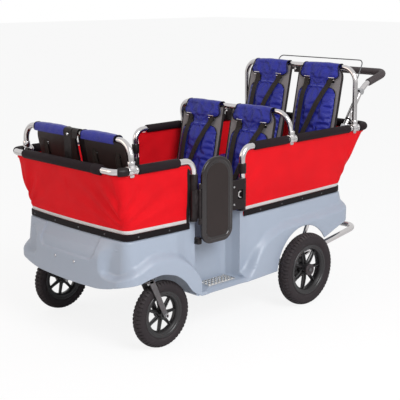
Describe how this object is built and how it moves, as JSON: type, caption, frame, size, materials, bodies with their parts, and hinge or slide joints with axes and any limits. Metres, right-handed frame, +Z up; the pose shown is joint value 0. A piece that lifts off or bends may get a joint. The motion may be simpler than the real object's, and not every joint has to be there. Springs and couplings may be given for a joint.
{
  "type": "multi seat daycare stroller",
  "caption": "Day-care stroller with rows of padded seats in a grey moulded tub with red cloth sides, chromed rails, side doors, casters and a push handle.",
  "frame": {"origin": "centre of the footprint at floor level, below the tub", "axes": "+Z up, +Y towards the push handle, +X towards the left side as a seated rear child sees it"},
  "size_m": [0.8, 1.6566, 1.0102],
  "materials": {
    "grey_shell": "moulded, fine grain",
    "red_cloth": "coated canvas",
    "blue_cloth": "coated canvas",
    "seat_board": "moulded",
    "black_foam": "soft foam",
    "black_plastic": "moulded",
    "tyre_rubber": "matt",
    "chromed_tube": "bright",
    "zinc_steel": "satin",
    "dark_wire": "satin",
    "cable_sheath": "smooth sheath"
  },
  "bodies": {
    "frame": {"brake_cable": "cable_sheath", "chassis_frame": "chromed_tube", "door_hinge_left": "black_plastic", "door_hinge_right": "black_plastic", "front_cloth": "red_cloth", "front_corner_sleeve_left": "black_plastic", "front_corner_sleeve_right": "black_plastic", "front_hoop": "chromed_tube", "front_rail": "chromed_tube", "front_rail_pad": "black_foam", "front_seat_board_left": "seat_board", "front_seat_board_right": "seat_board", "front_seat_cover_left": "blue_cloth", "front_seat_cover_right": "blue_cloth", "front_side_pad_left": "black_foam", "front_side_pad_right": "black_foam", "front_trim_strip": "black_plastic", "handle_grip": "black_foam", "latch_plate_left": "black_plastic", "latch_plate_right": "black_plastic", "middle_hoop": "chromed_tube", "middle_seat_board_left": "seat_board", "middle_seat_board_right": "seat_board", "middle_seat_cover_left": "blue_cloth", "middle_seat_cover_right": "blue_cloth", "middle_side_pad_left": "black_foam", "middle_side_pad_right": "black_foam", "push_handle": "chromed_tube", "rear_axle": "zinc_steel", "rear_cloth": "red_cloth", "rear_hoop": "chromed_tube", "rear_rail": "chromed_tube", "rear_rail_pad": "black_foam", "rear_seat_board_left": "seat_board", "rear_seat_board_right": "seat_board", "rear_seat_cover_left": "blue_cloth", "rear_seat_cover_right": "blue_cloth", "rear_side_pad_left": "black_foam", "rear_side_pad_right": "black_foam", "rear_trim_strip": "black_plastic", "step_plate_left": "zinc_steel", "step_plate_right": "zinc_steel", "tub_shell": "grey_shell"},
    "door_left": {"door_left": "black_plastic"},
    "catch_left": {"latch_catch_left": "chromed_tube"},
    "brake_arm_left": {"brake_arm_left": "zinc_steel"},
    "caster_left": {"caster_fork_left": "zinc_steel"},
    "front_wheel_left": {"front_tyre_left": "tyre_rubber", "front_rim_left": "black_plastic"},
    "rear_wheel_left": {"rear_tyre_left": "tyre_rubber", "rear_rim_left": "black_plastic"},
    "door_right": {"door_right": "black_plastic"},
    "catch_right": {"latch_catch_right": "chromed_tube"},
    "brake_arm_right": {"brake_arm_right": "zinc_steel"},
    "caster_right": {"caster_fork_right": "zinc_steel"},
    "front_wheel_right": {"front_tyre_right": "tyre_rubber", "front_rim_right": "black_plastic"},
    "rear_wheel_right": {"rear_tyre_right": "tyre_rubber", "rear_rim_right": "black_plastic"},
    "bail": {"brake_bail": "dark_wire"}
  },
  "joints": [
    {"name": "caster_left_swivel", "type": "hinge", "parent": "frame", "child": "caster_left", "pos_m": [0.316, -0.67411, 0.281], "axis": [0, 0, 1], "continuous": true},
    {"name": "front_wheel_left_spin", "type": "hinge", "parent": "caster_left", "child": "front_wheel_left", "pos_m": [0.316, -0.60411, 0.13], "axis": [1, 0, 0], "continuous": true},
    {"name": "rear_wheel_left_spin", "type": "hinge", "parent": "frame", "child": "rear_wheel_left", "pos_m": [0.365, 0.17589, 0.156], "axis": [1, 0, 0], "continuous": true},
    {"name": "door_left_hinge", "type": "hinge", "parent": "frame", "child": "door_left", "pos_m": [0.352, -0.43511, 0.531], "axis": [0, 0, -1], "range_deg": [0, 100]},
    {"name": "catch_left_slide", "type": "slide", "parent": "frame", "child": "catch_left", "axis": [0, 1, 0], "range_m": [0, 0.008], "stiffness_N_per_m": 300},
    {"name": "brake_arm_left_pivot", "type": "hinge", "parent": "frame", "child": "brake_arm_left", "pos_m": [0.31, 0.19789, 0.18], "axis": [1, 0, 0], "range_deg": [0, 12.6]},
    {"name": "caster_right_swivel", "type": "hinge", "parent": "frame", "child": "caster_right", "pos_m": [-0.316, -0.67411, 0.281], "axis": [0, 0, 1], "continuous": true},
    {"name": "front_wheel_right_spin", "type": "hinge", "parent": "caster_right", "child": "front_wheel_right", "pos_m": [-0.316, -0.60411, 0.13], "axis": [1, 0, 0], "continuous": true},
    {"name": "rear_wheel_right_spin", "type": "hinge", "parent": "frame", "child": "rear_wheel_right", "pos_m": [-0.365, 0.17589, 0.156], "axis": [1, 0, 0], "continuous": true},
    {"name": "door_right_hinge", "type": "hinge", "parent": "frame", "child": "door_right", "pos_m": [-0.352, -0.43511, 0.531], "axis": [0, 0, 1], "range_deg": [0, 100]},
    {"name": "catch_right_slide", "type": "slide", "parent": "frame", "child": "catch_right", "axis": [0, 1, 0], "range_m": [0, 0.008], "stiffness_N_per_m": 300},
    {"name": "brake_arm_right_pivot", "type": "hinge", "parent": "frame", "child": "brake_arm_right", "pos_m": [-0.31, 0.19789, 0.18], "axis": [1, 0, 0], "range_deg": [0, 12.6]},
    {"name": "bail_squeeze", "type": "hinge", "parent": "frame", "child": "bail", "pos_m": [0, 0.62489, 0.874], "axis": [-1, 0, 0], "range_deg": [0, 42], "stiffness_Nm_per_rad": 4}
  ],
  "couplings": [
    {"joint": "brake_arm_left_pivot", "follows": "bail_squeeze", "ratio": 0.3},
    {"joint": "brake_arm_right_pivot", "follows": "bail_squeeze", "ratio": 0.3}
  ]
}
